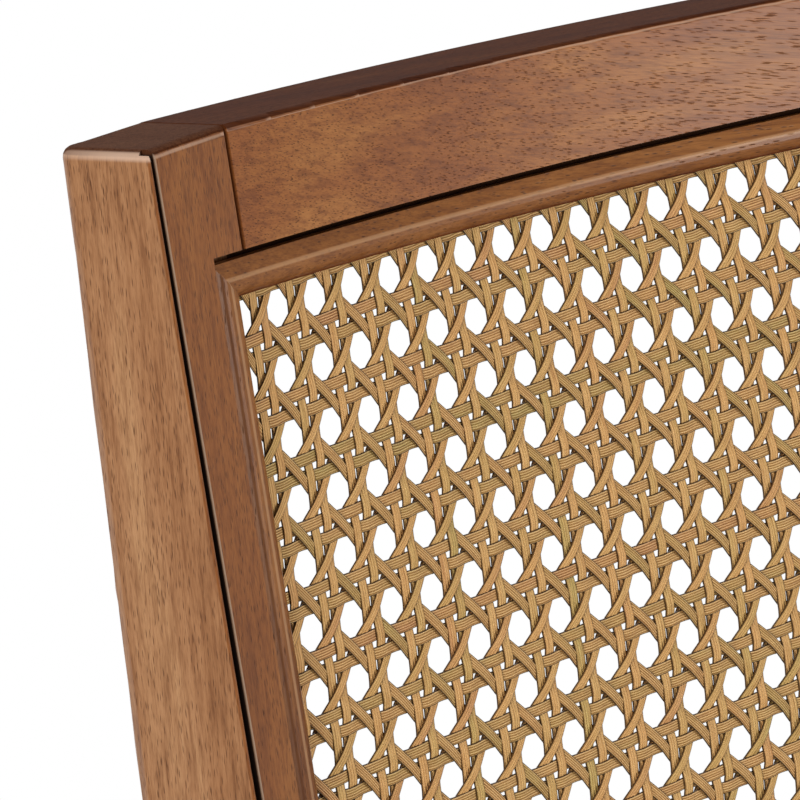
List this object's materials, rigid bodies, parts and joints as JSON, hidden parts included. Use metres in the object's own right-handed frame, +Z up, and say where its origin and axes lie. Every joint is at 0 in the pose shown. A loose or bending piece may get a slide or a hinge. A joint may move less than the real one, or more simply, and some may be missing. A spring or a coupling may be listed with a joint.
{
  "type": "cane back dining chair",
  "caption": "Dining chair with a curved back of woven cane in a stained hardwood frame, an upholstered seat and tapered legs",
  "frame": {"origin": "on the floor, under the middle of the chair's bounding box", "axes": "+X to the viewer's right when facing the chair, +Y from the front of the seat to the back, +Z up"},
  "size_m": [0.4566, 0.5426, 0.8488],
  "materials": {
    "stained_hardwood": "walnut stain under satin lacquer",
    "woven_cane": "natural split cane, woven six ways",
    "plain_softwood": "planed, unfinished",
    "plywood": "sanded, unfinished",
    "zinc_steel": "zinc plated",
    "seat_fabric": "plain woven linen look fabric over foam",
    "black_nylon": "moulded nylon"
  },
  "bodies": {
    "root": {"rear_leg_left": "stained_hardwood", "rear_leg_right": "stained_hardwood", "top_rail": "stained_hardwood", "lower_back_rail": "stained_hardwood", "bead_top": "stained_hardwood", "bead_bottom": "stained_hardwood", "bead_left": "stained_hardwood", "bead_right": "stained_hardwood", "cane_panel": "woven_cane", "front_leg_left": "stained_hardwood", "front_leg_right": "stained_hardwood", "front_seat_rail": "stained_hardwood", "rear_seat_rail": "stained_hardwood", "side_seat_rail_left": "stained_hardwood", "side_seat_rail_right": "stained_hardwood", "corner_block_front_left": "plain_softwood", "corner_block_front_right": "plain_softwood", "corner_block_rear_left": "plain_softwood", "corner_block_rear_right": "plain_softwood", "rail_screws": "zinc_steel", "seat_screws": "zinc_steel", "seat_board": "plywood", "seat_cushion": "seat_fabric", "glide_front_left": "black_nylon", "glide_front_right": "black_nylon", "glide_rear_left": "black_nylon", "glide_rear_right": "black_nylon"}
  },
  "joints": []
}
